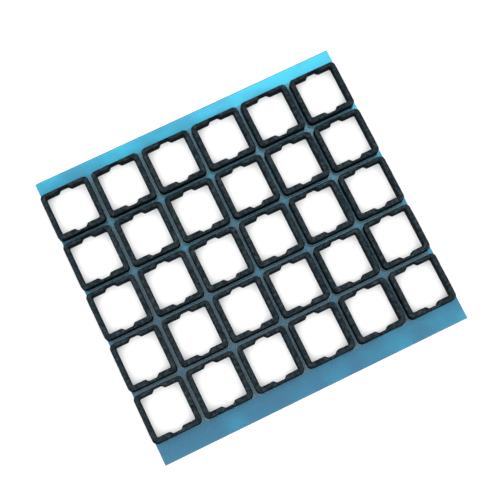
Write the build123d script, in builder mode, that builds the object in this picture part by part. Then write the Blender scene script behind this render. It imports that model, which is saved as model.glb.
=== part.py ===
"""Sheet of self-adhesive foam pads for keyboard switches, on a release film.

Thirty square foam rings stand in five rows of six on one thin translucent film.
Each ring goes round one switch, between the keyboard's plate and its circuit
board. It has a window for the switch housing, with a shallow recess in two
opposite sides for the housing's clips. A layer of adhesive under the foam holds
the ring to the film, and comes off the film with it. The windows are cut
through the foam, the adhesive and the film in one stroke.

Millimetres, +Z up, film flat on Z = 0, X along the rows, origin at the centre
of the sheet's underside.
"""
from build123d import *
import os

# Layout of the sheet
columns = 6
rows = 5
pitch = 19.05  # one key unit, centre to centre both ways
narrow_margin = 5.4  # bare film past the first row, on the +Y side
wide_margin = 7.4  # bare film past the last row, on the -Y side
film_side_shift = 0.4  # the film is cut this much to +X of the block of pads

# One pad
pad_width = 17.9  # along X
pad_length = 17.6  # along Y
pad_corner = 1.7
pad_height = 3.5  # the gap between plate and board, adhesive and foam together
foam_edge_round = 0.25  # the cut edge of the foam's top face

# The window in it
window_size = 14.0  # a switch housing's plate cut-out
window_corner = 0.5
window_shift = 0.25  # the window stands this much to +Y of the pad's middle
recess_depth = 1.0
recess_mouth = 4.8
recess_floor = 2.8
recess_round = 0.3

# Layers
film_thickness = 0.1
adhesive_thickness = 0.1
adhesive_inset = 0.08  # the soft adhesive draws back from the knife's cut
film_corner = 0.6

# Worked out from the above
block_x = (columns - 1) * pitch + pad_width
block_y = (rows - 1) * pitch + pad_length
film_x = block_x
film_y = block_y + narrow_margin + wide_margin
film_centre_x = film_side_shift / 2
block_centre_x = -film_side_shift / 2
first_row_y = film_y / 2 - narrow_margin - pad_length / 2
first_column_x = block_centre_x - (columns - 1) * pitch / 2
adhesive_base = film_thickness
foam_base = film_thickness + adhesive_thickness
foam_height = pad_height - adhesive_thickness


def pad_centre(row, column):
    """Centre of a pad, with row 1 at the narrow margin and column 1 at -X."""
    return (first_column_x + (column - 1) * pitch, first_row_y - (row - 1) * pitch)


def pad_outline(inset=0.0):
    """The pad's outer face, centred on the origin, with its sides moved in by inset."""
    with BuildSketch() as outline:
        RectangleRounded(pad_width - 2 * inset, pad_length - 2 * inset, pad_corner - inset)
    return outline.sketch


def window_outline(grow=0.0):
    """The window's face as it stands in a pad centred on the origin, with its sides moved out by grow."""
    side = window_size / 2 + grow
    floor = side + recess_depth
    mouth_half = recess_mouth / 2 + grow
    floor_half = recess_floor / 2 + grow
    corners = [
        (-side, -side), (-mouth_half, -side), (-floor_half, -floor),
        (floor_half, -floor), (mouth_half, -side), (side, -side),
        (side, side), (mouth_half, side), (floor_half, floor),
        (-floor_half, floor), (-mouth_half, side), (-side, side),
    ]
    rounds = [recess_round if abs(x) < side else window_corner for x, y in corners]
    with BuildSketch(Plane((0, window_shift, 0))) as outline:
        with BuildLine():
            FilletPolyline(*corners, radius=rounds, close=True)
        make_face()
    return outline.sketch


def make_film():
    """The release film: a thin rectangle with a window under each pad."""
    centres = [pad_centre(row, column) for row in range(1, rows + 1) for column in range(1, columns + 1)]
    window = window_outline()
    with BuildPart() as film:
        with BuildSketch():
            with Locations((film_centre_x, 0)):
                RectangleRounded(film_x, film_y, film_corner)
            with Locations(*centres):
                add(window, mode=Mode.SUBTRACT)
        extrude(amount=film_thickness)
    return film.part


def make_foam(centre_x, centre_y):
    """One foam ring, with the top edges of its cut faces slightly rounded."""
    outline = pad_outline()
    window = window_outline()
    with BuildPart() as foam:
        with BuildSketch(Plane((centre_x, centre_y, foam_base))):
            add(outline)
            add(window, mode=Mode.SUBTRACT)
        extrude(amount=foam_height)
        fillet(foam.faces().sort_by(Axis.Z)[-1].outer_wire().edges(), foam_edge_round)
    return foam.part


def make_adhesive(centre_x, centre_y):
    """The adhesive under one ring, just inside the ring's cut faces."""
    outline = pad_outline(inset=adhesive_inset)
    window = window_outline(grow=adhesive_inset)
    with BuildPart() as adhesive:
        with BuildSketch(Plane((centre_x, centre_y, adhesive_base))):
            add(outline)
            add(window, mode=Mode.SUBTRACT)
        extrude(amount=adhesive_thickness)
    return adhesive.part


os.makedirs("parts", exist_ok=True)

film = make_film()
film.label = "release_film"
export_step(film, "parts/release_film.step")

for row in range(1, rows + 1):
    for column in range(1, columns + 1):
        name = f"pad_r{row}_c{column}"
        foam = make_foam(*pad_centre(row, column))
        foam.label = "foam"
        adhesive = make_adhesive(*pad_centre(row, column))
        adhesive.label = "adhesive"
        pad = Compound(label=name, children=[foam, adhesive])
        export_step(pad, f"parts/{name}.step")
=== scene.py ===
"""Looks of the sheet of adhesive foam pads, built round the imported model. Metres, +Z up."""
import math

import bmesh
import bpy
from mathutils import Matrix, Vector, noise


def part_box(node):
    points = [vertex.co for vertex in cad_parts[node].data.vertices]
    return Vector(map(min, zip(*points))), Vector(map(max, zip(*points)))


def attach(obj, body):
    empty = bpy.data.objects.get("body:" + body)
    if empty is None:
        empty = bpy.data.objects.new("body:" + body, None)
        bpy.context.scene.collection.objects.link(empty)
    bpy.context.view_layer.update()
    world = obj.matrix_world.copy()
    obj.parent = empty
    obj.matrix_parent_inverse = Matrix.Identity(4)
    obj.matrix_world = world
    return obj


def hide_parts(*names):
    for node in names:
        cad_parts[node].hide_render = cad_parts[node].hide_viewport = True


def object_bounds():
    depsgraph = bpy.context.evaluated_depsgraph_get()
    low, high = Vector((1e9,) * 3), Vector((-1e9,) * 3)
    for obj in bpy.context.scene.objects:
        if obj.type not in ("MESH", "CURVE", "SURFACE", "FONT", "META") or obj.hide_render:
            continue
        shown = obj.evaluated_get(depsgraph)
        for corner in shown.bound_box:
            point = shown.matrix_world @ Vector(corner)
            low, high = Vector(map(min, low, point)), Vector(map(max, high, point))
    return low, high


MM = 0.001

# The pad, as the model has it
window_half = 7.0 * MM
window_corner = 0.5 * MM
window_shift = 0.25 * MM
recess_depth = 1.0 * MM
recess_mouth_half = 2.4 * MM
recess_floor_half = 1.4 * MM
recess_round = 0.12 * MM  # how far its rounded corners reach along its sides
pad_corner = 1.7 * MM
pitch = 19.05 * MM
adhesive_thickness = 0.1 * MM

# How the pieces were cut
foam_relief = 0.06 * MM  # how far the cut walls stand back from the model's, to leave room for a rough cut
foam_waist = 0.06 * MM  # how hollow the cut walls are, because the foam bulged under the knife
foam_edge = 0.22 * MM  # round of the top edges
edge_cut_and_shade = 0.35  # how far that round still counts as cut wall where it meets the skin, and so takes the walls' painted shade, from 0 to 1
foam_wander = 0.05 * MM  # how far the knife's line wanders
wander_lump = 5 * MM  # each lump is about how far it is from one rise of the unevenness to the next
foam_rough = 0.035 * MM  # coarseness of the cut cells
rough_lump = 0.7 * MM
foam_crown = 0.04 * MM  # rise of the skin between the walls
crown_lump = 2.6 * MM
adhesive_inset = 0.12 * MM
score_gap = 0.05 * MM  # from a pad's edge to the line that the knife scored in the film
score_width = 0.12 * MM
wear_sheen_fade = 0.28 / MM  # how fast the knife's wear, with the painted sheen and shade between the pads, fades away from the knife's line
edge_frost_and_sheen = 0.8  # grey milk at the cut edges of the bare margins: partly the cut's own frosting, partly a painted highlight
edge_band = 0.3 * MM  # how far in from those edges it reaches
film_curl = 0.35 * MM  # the most that the bare margins lift, at the sheet's corners
film_lump = 26 * MM
narrow_margin_steps = 7
wide_margin_steps = 9
least_gap = 0.005 * MM
weld = 0.002 * MM  # points nearer than this become one
hair = 0.001 * MM  # too small to see

# Stations along half a side of every outline: from, to (shares of the half side) and how many.
# They are close together where the recess and the corners need them.
station_spans = [(0.0, 0.16, 3), (0.16, 0.38, 9), (0.38, 0.80, 9), (0.80, 1.0, 9)]

# Grain of the materials: the size of its lumps and the depth of its relief
foam_patch = 3.2 * MM
foam_grain = 1.1 * MM
foam_grain_depth = 0.10 * MM
foam_pore = 0.16 * MM
foam_pore_depth = 0.05 * MM
film_haze = 24 * MM
film_haze_depth = 0.15 * MM
film_cloud = 9 * MM
film_streak = 0.9 * MM
film_streak_depth = 0.004 * MM
adhesive_bubble = 0.5 * MM
adhesive_bubble_depth = 0.02 * MM
floor_cloud = 120 * MM

# Colours. The foam's are darker than such foam is, to make up for a light that turns the floor white.
skin_deep = (0.0076, 0.0146, 0.0194, 1)
skin_pale = (0.0132, 0.0218, 0.0276, 1)
grain_pale = (0.0400, 0.0540, 0.0630, 1)
grain_deep = (0.0018, 0.0038, 0.0054, 1)
# the cut walls' colour: partly the core's own dark tone, partly painted shade
core_shade_deep = (0.0003, 0.0006, 0.0009, 1)
core_shade_pale = (0.0036, 0.0050, 0.0060, 1)
# the film's tint, and the paler tint that the painted glare reaches towards the +X +Y corner and the film's
# uneven tone reaches in places
film_deep = (0.37, 0.61, 0.70, 1)
film_pale = (0.37, 0.87, 0.95, 1)
film_body = (0.03, 0.26, 0.50, 1)
# the cut edges' colour, pale and milky: partly the cut's own frosting, partly a painted highlight
film_edge_body = (0.34, 0.44, 0.52, 1)
# grey of the knife's score, and of the painted sheen and shade in the gaps between the pads
film_wear_and_sheen_grey = (0.23, 0.30, 0.31, 1)
adhesive_tint = (0.86, 0.92, 0.93, 1)
adhesive_deep = (0.30, 0.36, 0.38, 1)
adhesive_pale = (0.48, 0.55, 0.57, 1)
floor_deep = (0.90, 0.90, 0.90, 1)
floor_pale = (0.93, 0.93, 0.93, 1)

# Gloss and clearness
foam_gloss = 0.07
glare_side = (0.45, 0.89, 0.0)  # painted glare: the film's tint is painted paler this way, towards its +X +Y corner
glare_from, glare_to = -45 * MM, 70 * MM  # where along that way its colour starts and stops changing
film_milk = 0.03  # share of the film's light that its own body scatters
film_edge_milk = 0.6
wear_sheen_milk = 0.9
adhesive_milk = 0.35
mirror_head_on = 0.04  # share of light that a plastic face mirrors when seen head on

# Room, camera and light
floor_side = 6.0
floor_drop = 0.02 * MM  # keeps the floor clear of the film
world_strength = 1.5
camera_place = Vector((-35.5, -70.2, 392.5)) * MM
sheet_turn = math.radians(25.9)  # how far the sheet lies turned as the camera sees it
camera_lens = 84.0

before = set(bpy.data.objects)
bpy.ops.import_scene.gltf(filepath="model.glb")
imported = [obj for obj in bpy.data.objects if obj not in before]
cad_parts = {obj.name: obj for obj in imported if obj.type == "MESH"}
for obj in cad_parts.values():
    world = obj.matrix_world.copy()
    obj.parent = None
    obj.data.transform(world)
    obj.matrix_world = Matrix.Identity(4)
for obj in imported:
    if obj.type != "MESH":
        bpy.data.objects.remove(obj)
cad_low, cad_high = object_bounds()
pad_nodes = sorted(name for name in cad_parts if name.startswith("pad_"))
film_low, film_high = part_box("release_film")
film_thickness = film_high.z - film_low.z
pad_low, pad_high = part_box(pad_nodes[0])
pad_half_x = (pad_high.x - pad_low.x) / 2
pad_half_y = (pad_high.y - pad_low.y) / 2


# ---------------------------------------------------------------- outlines

def side_stations():
    """Places along one side of a square, from -1 up to 1, which is left to the next side."""
    half = [0.0]
    for start, stop, count in station_spans:
        half += [start + (stop - start) * (k + 1) / count for k in range(count)]
    return [-u for u in reversed(half[1:])] + half[:-1]


def rounded_point(u, along, across, corner):
    """Point on the +Y side of a rounded rectangle at u, from -1 to 1, the middles of its two corners."""
    x = u * along
    straight = along - corner
    if abs(x) <= straight:
        return Vector((x, across))
    turn = (abs(x) - straight) / corner * math.pi / 4
    reach = straight + corner * math.sin(turn)
    return Vector((math.copysign(reach, x), across - corner + corner * math.cos(turn)))


def ramp(t, soft):
    """0 below 0, t up to 1 and 1 above it, with its two corners rounded over soft."""
    def rounded_foot(v):
        if v <= -soft:
            return 0.0
        if v >= soft:
            return v
        return (v + soft) ** 2 / (4 * soft)
    return rounded_foot(t) - rounded_foot(t - 1)


def recess(x, grow):
    """How far the window's side is set back at x."""
    run = recess_mouth_half - recess_floor_half
    return recess_depth * ramp((recess_mouth_half + grow - abs(x)) / run, recess_round / run)


def turned(point, quarter):
    """A point of the +Y side turned on to side 0 (+Y), 1 (-X), 2 (-Y) or 3 (+X)."""
    x, y = point
    return [Vector((x, y)), Vector((-y, x)), Vector((-x, -y)), Vector((y, -x))][quarter]


def outline(half_x, half_y, corner, recess_grow=None):
    """Closed outline, anticlockwise, with as many points on every side as every other outline.
    recess_grow sets the window's recesses into its +Y and -Y sides."""
    points = []
    for quarter in range(4):
        along, across = (half_x, half_y) if quarter in (0, 2) else (half_y, half_x)
        for u in side_stations():
            point = rounded_point(-u, along, across, corner)
            if recess_grow is not None and quarter in (0, 2):
                point.y += recess(point.x, recess_grow)
            points.append(turned(point, quarter))
    return points


def window_outline(grow=0.0):
    """The window in a pad centred on the origin, with its sides moved out by grow."""
    half = window_half + grow
    square = outline(half, half, window_corner + grow, recess_grow=grow)
    return [Vector((point.x, point.y + window_shift)) for point in square]


def pad_outline(grow=0.0):
    """The pad's outer sides, moved out by grow."""
    return outline(pad_half_x + grow, pad_half_y + grow, pad_corner + grow)


def outward(points):
    """Unit vector out of the outline at each of its points."""
    count = len(points)
    result = []
    for index in range(count):
        along = points[(index + 1) % count] - points[index - 1]
        result.append(Vector((along.y, -along.x)).normalized())
    return result


# ---------------------------------------------------------------- meshes

def mesh_piece(name, mesh):
    """An object from a finished bmesh."""
    data = bpy.data.meshes.new(name)
    mesh.to_mesh(data)
    mesh.free()
    piece = bpy.data.objects.new(name, data)
    bpy.context.scene.collection.objects.link(piece)
    return piece


def ring_faces(loops, count, closed):
    """Quads between loops of count points each, and from the last loop to the first if closed."""
    faces = []
    for k in range(loops if closed else loops - 1):
        a, b = k * count, (k + 1) % loops * count
        for i in range(count):
            j = (i + 1) % count
            faces.append((a + i, a + j, b + j, b + i))
    return faces


def closed_piece(name, loops, cuts=None):
    """A closed ring lofted through loops of points. cuts says how far each loop is cut foam, 0 to 1."""
    mesh = bmesh.new()
    layer = mesh.verts.layers.float.new("cut")
    verts = []
    for number, loop in enumerate(loops):
        for place in loop:
            vert = mesh.verts.new(place)
            vert[layer] = cuts[number] if cuts else 0.0
            verts.append(vert)
    for face in ring_faces(len(loops), len(loops[0]), closed=True):
        mesh.faces.new([verts[i] for i in face]).smooth = True
    bmesh.ops.recalc_face_normals(mesh, faces=mesh.faces)
    return mesh_piece(name, mesh)


def waver(place, lump, size):
    """Smooth unevenness at a place, up to about size either way, with lumps about as large as lump."""
    return noise.noise(place / lump) * size


def foam_section(height):
    """The ring's section from the window's foot up, over the top and down outside. For each loop it gives
    the share of the way across the ring, the inset from the nearer wall, the height, and how far the loop
    is cut wall, from 1 on the wall to 0 on the skin."""
    steps_up, steps_round, steps_across = 8, 4, 6
    wall = []
    for k in range(steps_up):
        t = k / steps_up
        wall.append((foam_relief + foam_waist * math.sin(math.pi * t), t * (height - foam_edge), 1.0))
    for k in range(steps_round + 1):
        turn = k / steps_round * math.pi / 2
        inset = foam_relief + foam_edge * (1 - math.cos(turn))
        cut = 1.0 - (1.0 - edge_cut_and_shade) * (k / steps_round) ** 3
        wall.append((inset, height - foam_edge * (1 - math.sin(turn)), cut))
    inside = [(0.0, *step) for step in wall]
    across = [(k / steps_across, foam_relief + foam_edge, height, 0.0) for k in range(1, steps_across)]
    outside = [(1.0, *step) for step in reversed(wall)]
    return inside + across + outside


def make_foam(node):
    """One foam ring, with rough, slightly hollow cut walls and a softly uneven skin."""
    low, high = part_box(node)
    centre = (low + high) / 2
    foot = low.z + adhesive_thickness
    height = high.z - foot
    inner = window_outline()
    outer = pad_outline()
    rays = list(zip(inner, outward(inner), outer, outward(outer)))
    loops, cuts = [], []
    for share, inset, z, cut in foam_section(height):
        loop = []
        for p, p_out, q, q_out in rays:
            nominal = p.lerp(q, share)
            place = Vector((centre.x + nominal.x, centre.y + nominal.y, foot + z))
            uneven = waver(place, wander_lump, foam_wander) + waver(place, rough_lump, foam_rough)
            depth = max(inset + uneven, least_gap)
            spot = (p + p_out * depth).lerp(q - q_out * depth, share)
            crown = (1 - cut) * foam_crown * (1 - 4 * (share - 0.5) ** 2)
            sag = waver(place, crown_lump, foam_crown) - 2 * foam_crown
            rise = z / height * (crown + sag)
            loop.append(Vector((centre.x + spot.x, centre.y + spot.y, place.z + rise)))
        loops.append(loop)
        cuts.append(cut)
    return closed_piece(node.replace("pad", "foam"), loops, cuts)


def make_adhesive(node):
    """The adhesive under one ring: a thin sheet a little inside the foam."""
    low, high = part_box(node)
    centre = (low + high) / 2
    inner = window_outline(grow=adhesive_inset)
    outer = pad_outline(grow=-adhesive_inset)
    foot = low.z + least_gap
    top = low.z + adhesive_thickness - least_gap
    loops = []
    for points, z in ((inner, foot), (inner, top), (outer, top), (outer, foot)):
        loops.append([Vector((centre.x + point.x, centre.y + point.y, z)) for point in points])
    return closed_piece(node.replace("pad", "adhesive"), loops)


def film_lift(x, y, block_low, block_high):
    """How far the film lifts off the table: not at all under the pads, and most at the margins' outer
    edges, a little all along them, more at the corners and more in places."""
    if y < block_low.y:
        share = (block_low.y - y) / (block_low.y - film_low.y)
    elif y > block_high.y:
        share = (y - block_high.y) / (film_high.y - block_high.y)
    else:
        return 0.0
    corner = abs(x / film_high.x) ** 4
    wave = 0.5 + waver(Vector((x, y, 0.0)), film_lump, 0.5)
    return film_curl * share ** 2 * (0.1 + 0.5 * corner + 0.4 * wave)


def margin_strip(mesh, wear_and_sheen, edge_y, steps):
    """Continues the film from the row of cell edges at edge_y out to the sheet's own cut edge, which is
    partly frosted and partly painted highlight.
    """
    film_y = film_high.y if edge_y > 0 else film_low.y
    line = sorted((v for v in mesh.verts if abs(v.co.y - edge_y) < hair), key=lambda v: v.co.x)
    shares = [step / steps for step in range(1, steps)] + [1 - edge_band / abs(film_y - edge_y), 1.0]
    for share in shares:
        y = edge_y + (film_y - edge_y) * share
        following = [mesh.verts.new((v.co.x, y, 0.0)) for v in line]
        for k in range(len(line) - 1):
            mesh.faces.new((line[k], line[k + 1], following[k + 1], following[k]))
        line = following
    for vert in line:
        vert[wear_and_sheen] = edge_frost_and_sheen


def make_film():
    """The release film: rings of quads round each window, strips for the bare margins, and a thickness.
    Each ring comes with how much wear and painted sheen it carries, which fades away from the knife's line."""
    boxes = [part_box(node) for node in pad_nodes]
    block_low = Vector((min(low.x for low, high in boxes), min(low.y for low, high in boxes)))
    block_high = Vector((max(high.x for low, high in boxes), max(high.y for low, high in boxes)))
    cut_line = pad_outline()
    wear_and_sheen_rings = [
        (window_outline(), 0.0),
        (pad_outline(grow=-score_gap), 0.0),
        (cut_line, 0.5),
        (pad_outline(grow=score_gap + score_width / 2), 1.0),
        (pad_outline(grow=score_gap + score_width), 0.5),
        (outline(pitch / 2, pitch / 2, hair), 0.5),
    ]
    mesh = bmesh.new()
    wear_and_sheen = mesh.verts.layers.float.new("wear_and_sheen")
    for low, high in boxes:
        centre = (low + high) / 2
        verts = []
        for ring, wear_and_sheen_level in wear_and_sheen_rings:
            for point, cut_point in zip(ring, cut_line):
                x = min(max(centre.x + point.x, film_low.x), film_high.x)
                y = centre.y + point.y
                between_pads = block_low.y < y < block_high.y and abs(x) < film_high.x - pad_corner
                faded = max(wear_and_sheen_level - wear_sheen_fade * (point - cut_point).length, 0.0)
                vert = mesh.verts.new((x, y, 0.0))
                vert[wear_and_sheen] = faded if between_pads else 0.0
                verts.append(vert)
        for face in ring_faces(len(wear_and_sheen_rings), len(cut_line), closed=False):
            mesh.faces.new([verts[i] for i in face])
    bmesh.ops.remove_doubles(mesh, verts=mesh.verts, dist=weld)
    bmesh.ops.dissolve_degenerate(mesh, dist=weld, edges=mesh.edges)
    margin_strip(mesh, wear_and_sheen, block_high.y + pitch / 2 - pad_half_y, narrow_margin_steps)
    margin_strip(mesh, wear_and_sheen, block_low.y - pitch / 2 + pad_half_y, wide_margin_steps)
    for vert in mesh.verts:
        vert.co.z = film_low.z + film_lift(vert.co.x, vert.co.y, block_low, block_high)
    mesh.normal_update()
    for face in mesh.faces:
        face.smooth = True
        if face.normal.z < 0:
            face.normal_flip()
    film = mesh_piece("film_sheet", mesh)
    thick = film.modifiers.new("thickness", "SOLIDIFY")
    thick.thickness = film_thickness
    thick.offset = 1.0
    thick.material_offset_rim = 1
    return film


# ---------------------------------------------------------------- materials

class Shader:
    """Builds one node material. Most methods add a node or two and return the last one's output."""

    def __init__(self, name):
        self.material = bpy.data.materials.new(name)
        self.material.use_nodes = True
        self.tree = self.material.node_tree
        self.tree.nodes.clear()
        self.output = self.tree.nodes.new("ShaderNodeOutputMaterial")
        self.place = self.tree.nodes.new("ShaderNodeTexCoord").outputs["Object"]

    def add(self, kind, values=None, **settings):
        """Adds a node, with settings as its properties and values as its inputs, numbers or links."""
        node = self.tree.nodes.new(kind)
        for key, value in settings.items():
            setattr(node, key, value)
        for key, value in (values or {}).items():
            if isinstance(value, bpy.types.NodeSocket):
                self.tree.links.new(value, node.inputs[key])
            else:
                node.inputs[key].default_value = value
        return node

    def noise(self, size, detail=3.0, rough=0.5):
        """Noise from 0 to 1 with lumps of the given size in metres."""
        values = {"Vector": self.place, "Scale": 1 / size, "Detail": detail, "Roughness": rough}
        return self.add("ShaderNodeTexNoise", values).outputs["Fac"]

    def cells(self, size):
        """Distance from the middle of round cells of the given size in metres."""
        values = {"Vector": self.place, "Scale": 1 / size}
        return self.add("ShaderNodeTexVoronoi", values).outputs["Distance"]

    def remap(self, value, low, high, to_low=0.0, to_high=1.0):
        values = {"Value": value, "From Min": low, "From Max": high, "To Min": to_low, "To Max": to_high}
        return self.add("ShaderNodeMapRange", values).outputs["Result"]

    def blend(self, share, first, second):
        """Colour between first and second."""
        node = self.add("ShaderNodeMix", data_type="RGBA")
        for socket, value in ((node.inputs[0], share), (node.inputs[6], first), (node.inputs[7], second)):
            if isinstance(value, bpy.types.NodeSocket):
                self.tree.links.new(value, socket)
            else:
                socket.default_value = value
        return node.outputs[2]

    def along(self, direction):
        """How far a point lies along a direction, in metres."""
        node = self.add("ShaderNodeVectorMath", {0: self.place, 1: direction}, operation="DOT_PRODUCT")
        return node.outputs["Value"]

    def total(self, first, second):
        """The sum, held between 0 and 1."""
        node = self.add("ShaderNodeMath", {0: first, 1: second}, operation="ADD", use_clamp=True)
        return node.outputs["Value"]

    def mirrored(self, normal):
        """The share of light that a plastic face mirrors, on either side: it grows with the fifth power of
        the glance, up to all of it."""
        glance = self.add("ShaderNodeLayerWeight", {"Blend": 0.5, "Normal": normal}).outputs["Facing"]
        steep = self.add("ShaderNodeMath", {0: glance, 1: 5.0}, operation="POWER").outputs["Value"]
        return self.remap(steep, 0.0, 1.0, mirror_head_on, 1.0)

    def mark(self, name):
        """The pieces' own per-vertex number of that name."""
        return self.add("ShaderNodeAttribute", attribute_name=name).outputs["Fac"]

    def bump(self, height, distance, strength=1.0, normal=None):
        values = {"Height": height, "Distance": distance, "Strength": strength}
        if normal is not None:
            values["Normal"] = normal
        return self.add("ShaderNodeBump", values).outputs["Normal"]

    def surface(self, shader):
        self.tree.links.new(shader, self.output.inputs["Surface"])
        return self.material


def foam_material():
    """Charcoal microcellular foam: a matt skin with fine pores on top, and a near-black colour on the cut
    walls and the rounds of the top edges, partly the core's own tone and partly painted shade.
    Both are blotched where the grain, which mostly stays between 0.3 and 0.7, runs high or low."""
    m = Shader("foam")
    patches = m.noise(foam_patch, 4.0)
    grain = m.noise(foam_grain, 4.0, 0.7)
    pores = m.cells(foam_pore)
    skin = m.blend(patches, skin_deep, skin_pale)
    skin = m.blend(m.remap(grain, 0.50, 0.70), skin, grain_pale)
    skin = m.blend(m.remap(grain, 0.48, 0.34), skin, grain_deep)
    core_shade = m.blend(m.remap(grain, 0.42, 0.68), core_shade_deep, core_shade_pale)
    # painted shade: the cut walls, and through the cut mark the rounds of the top edges, take the darker
    # core colour
    colour = m.blend(m.mark("cut"), skin, core_shade)
    normal = m.bump(pores, foam_pore_depth, 0.8)
    normal = m.bump(grain, foam_grain_depth, 0.8, normal)
    values = {"Base Color": colour, "Roughness": 0.9, "Normal": normal, "Specular IOR Level": foam_gloss}
    return m.surface(m.add("ShaderNodeBsdfPrincipled", values).outputs["BSDF"])


def film_material(name, body, body_share, polish):
    """Glossy see-through plastic. Light takes on a tint at each face, painted paler towards the sheet's +X
    +Y corner as a painted glare, body_share of it is scattered by the plastic's own milky body, and both
    faces mirror the room.
    Where the wear-and-sheen mark is high it is greyer and scatters more: the knife's real score, painted
    sheen and shade in the gaps between the pads, and the margins' cut edges, partly frosted and partly
    painted highlight."""
    m = Shader(name)
    haze = m.noise(film_haze, 2.0)
    clouds = m.noise(film_cloud, 3.0)
    streaks = m.noise(film_streak, 2.0)
    wear_and_sheen = m.mark("wear_and_sheen")
    # painted glare: the tint runs paler towards the +X +Y corner; haze and clouds are the film's own uneven
    # tone
    glare_and_haze = m.remap(m.along(glare_side), glare_from, glare_to)
    glare_and_haze = m.total(glare_and_haze, m.remap(haze, 0.35, 0.65, -0.2, 0.2))
    tint = m.blend(m.total(glare_and_haze, m.remap(clouds, 0.3, 0.7, -0.12, 0.12)), film_deep, film_pale)
    clear = m.add("ShaderNodeBsdfTransparent", {"Color": tint}).outputs["BSDF"]
    # painted sheen and shade: between the pads the film turns grey and milky about the knife's real score,
    # and the margins' cut edges get a painted highlight
    wear_and_sheen_colour = m.blend(m.remap(wear_and_sheen, 0.0, 0.5), body, film_wear_and_sheen_grey)
    milk = m.add("ShaderNodeBsdfDiffuse", {"Color": wear_and_sheen_colour}).outputs["BSDF"]
    share = m.remap(wear_and_sheen, 0.0, 1.0, body_share, wear_sheen_milk)
    plastic = m.add("ShaderNodeMixShader", {0: share, 1: clear, 2: milk}).outputs["Shader"]
    normal = m.bump(haze, film_haze_depth)
    normal = m.bump(streaks, film_streak_depth, normal=normal)
    mirror = m.add("ShaderNodeBsdfGlossy", {"Roughness": polish, "Normal": normal}).outputs["BSDF"]
    both = m.add("ShaderNodeMixShader", {0: m.mirrored(normal), 1: plastic, 2: mirror})
    return m.surface(both.outputs["Shader"])


def adhesive_material():
    """Clear tacky acrylic, slightly milky, with trapped bubbles and a soft gloss."""
    m = Shader("adhesive")
    bubbles = m.noise(adhesive_bubble, 2.0)
    colour = m.blend(bubbles, adhesive_deep, adhesive_pale)
    clear = m.add("ShaderNodeBsdfTransparent", {"Color": adhesive_tint}).outputs["BSDF"]
    normal = m.bump(bubbles, adhesive_bubble_depth)
    values = {"Base Color": colour, "Roughness": 0.3, "Normal": normal}
    milk = m.add("ShaderNodeBsdfPrincipled", values).outputs["BSDF"]
    both = m.add("ShaderNodeMixShader", {0: adhesive_milk, 1: clear, 2: milk})
    return m.surface(both.outputs["Shader"])


def floor_material():
    m = Shader("floor")
    colour = m.blend(m.noise(floor_cloud, 2.0), floor_deep, floor_pale)
    values = {"Base Color": colour, "Roughness": 0.7}
    return m.surface(m.add("ShaderNodeBsdfPrincipled", values).outputs["BSDF"])


# ---------------------------------------------------------------- the studio

def add_floor(material):
    bpy.ops.mesh.primitive_plane_add(size=floor_side, location=(0, 0, film_low.z - floor_drop))
    floor = bpy.context.object
    floor.name = "floor"
    floor.data.materials.append(material)


def add_softbox(name, place, size, power):
    """A square area light at a place, aimed at the sheet."""
    light = bpy.data.lights.new(name, "AREA")
    light.shape = "SQUARE"
    light.size = size
    light.energy = power
    holder = bpy.data.objects.new(name, light)
    holder.location = place
    holder.rotation_mode = "QUATERNION"
    holder.rotation_quaternion = (-Vector(place)).to_track_quat("-Z", "Y")
    bpy.context.scene.collection.objects.link(holder)


def add_world(strength):
    world = bpy.data.worlds.new("studio")
    world.use_nodes = True
    background = world.node_tree.nodes["Background"]
    background.inputs["Color"].default_value = (1.0, 1.0, 1.0, 1)
    background.inputs["Strength"].default_value = strength
    bpy.context.scene.world = world


def add_camera():
    """The camera looks at the middle of the sheet, with the sheet turned as it lies on the table."""
    middle = (cad_low + cad_high) / 2
    back = (camera_place - middle).normalized()
    sheet_up = Vector((math.sin(sheet_turn), math.cos(sheet_turn), 0.0))
    right = sheet_up.cross(back).normalized()
    up = back.cross(right)
    data = bpy.data.cameras.new("camera")
    data.lens = camera_lens
    data.sensor_width = 36.0
    data.clip_start = 0.01
    data.clip_end = 20.0
    camera = bpy.data.objects.new("camera", data)
    camera.matrix_world = Matrix((right, up, back)).transposed().to_4x4()
    camera.location = camera_place
    bpy.context.scene.collection.objects.link(camera)
    bpy.context.scene.camera = camera


# ---------------------------------------------------------------- putting it together

foam_finish = foam_material()
film_finish = film_material("film", film_body, film_milk, polish=0.12)
edge_finish = film_material("film_edge", film_edge_body, film_edge_milk, polish=0.5)
adhesive_finish = adhesive_material()

film = make_film()
film.data.materials.append(film_finish)
film.data.materials.append(edge_finish)
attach(film, "film")
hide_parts("release_film")

for node in pad_nodes:
    foam = make_foam(node)
    foam.data.materials.append(foam_finish)
    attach(foam, node)
    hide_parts(node)
    adhesive = make_adhesive(node)
    adhesive.data.materials.append(adhesive_finish)
    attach(adhesive, node)

add_floor(floor_material())
add_world(world_strength)
add_softbox("key", place=(0.22, 0.30, 0.95), size=0.2, power=0.12)
add_softbox("fill", place=(-0.5, -0.45, 1.3), size=1.0, power=3.9)
add_camera()
bpy.context.scene.view_settings.view_transform = "Standard"
